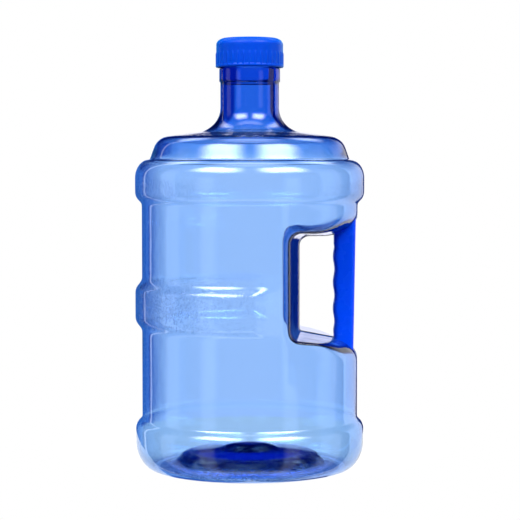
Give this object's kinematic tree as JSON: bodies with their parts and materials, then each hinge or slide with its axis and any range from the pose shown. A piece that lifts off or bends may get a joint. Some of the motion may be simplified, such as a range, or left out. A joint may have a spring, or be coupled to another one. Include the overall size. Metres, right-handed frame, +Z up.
{
  "type": "large water jug",
  "caption": "Tall blue-tinted round water jug with raised hoops, a narrow neck, a ribbed screw cap and a side recess with an opaque grip bar.",
  "frame": {"origin": "on the bottle's axis, on the surface that the jug stands on", "axes": "+Z up along the bottle's axis, +X towards the grip, y = 0 is the mould's parting plane through the grip"},
  "size_m": [0.2, 0.2, 0.376],
  "materials": {
    "clear_blue_plastic": "clear blue-tinted blown plastic, glossy, with a fine grain on the hoops and the base",
    "grip_plastic": "opaque royal blue moulding, satin gloss",
    "cap_plastic": "opaque royal blue moulding, satin gloss",
    "liner_foam": "soft pale foam seal, matt"
  },
  "bodies": {
    "jug": {"bottle": "clear_blue_plastic", "grip": "grip_plastic"},
    "liner": {"cap_liner": "liner_foam"},
    "cap": {"screw_cap": "cap_plastic"}
  },
  "joints": [
    {"name": "cap_rise", "type": "slide", "parent": "jug", "child": "liner", "axis": [0, 0, 1], "range_m": [0, 0.0701]},
    {"name": "cap_turn", "type": "hinge", "parent": "liner", "child": "cap", "pos_m": [0, 0, 0.36], "axis": [0, 0, 1], "range_deg": [0, 2520]}
  ],
  "couplings": [
    {"joint": "cap_rise", "follows": "cap_turn", "m_per_rad": 0.0015915}
  ]
}
